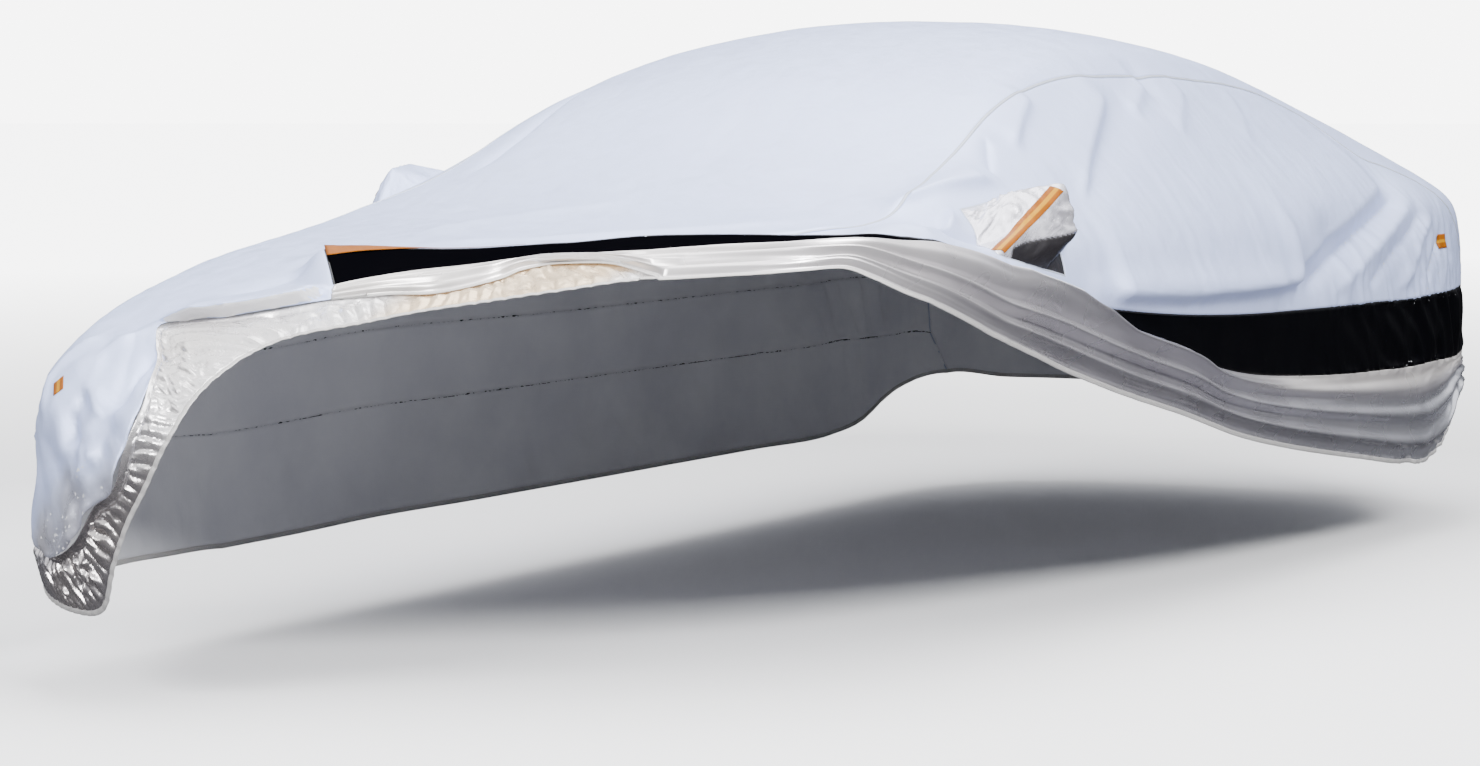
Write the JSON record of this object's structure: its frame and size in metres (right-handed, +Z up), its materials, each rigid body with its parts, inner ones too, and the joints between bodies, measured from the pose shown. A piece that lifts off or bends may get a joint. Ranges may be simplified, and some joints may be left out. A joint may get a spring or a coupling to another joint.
{
  "type": "car cover",
  "caption": "Fitted silver car cover draped over a fastback car's shape, its near front corner drawn back, with black side bands, mirror pockets and orange reflective strips",
  "frame": {"origin": "the cover's inner face under the roof, at the middle of the car's width and length", "axes": "+X towards the car's left side, +Y towards the car's tail, +Z up; the car's front faces -Y"},
  "size_m": [2.0347, 4.8323, 1.2654],
  "materials": {
    "silver_cloth": "silver-coated woven cloth with a soft sheen",
    "skirt_cloth": "aluminised cloth, shinier and darker than the top",
    "gathered_cloth": "aluminised cloth bunched by elastic",
    "black_cloth": "glossy black woven cloth",
    "edging": "pale woven binding",
    "reflective_orange": "reflective tape"
  },
  "bodies": {
    "root": {"top_panel_bonnet": "silver_cloth", "top_panel_roof": "silver_cloth", "top_panel_boot": "silver_cloth", "top_panel_tail": "silver_cloth", "side_panel_left": "silver_cloth", "side_panel_right": "silver_cloth", "band_left": "black_cloth", "band_right": "black_cloth", "skirt_left": "skirt_cloth", "skirt_right": "skirt_cloth", "front_gathered_edge": "gathered_cloth", "hem_binding": "edging", "mirror_pocket_left": "silver_cloth", "mirror_gusset_left": "black_cloth", "mirror_strip_left": "reflective_orange", "mirror_pocket_right": "silver_cloth", "mirror_gusset_right": "black_cloth", "mirror_strip_right": "reflective_orange", "band_strip_left": "reflective_orange", "reflective_tab_front": "reflective_orange", "reflective_tab_rear": "reflective_orange"}
  },
  "joints": []
}
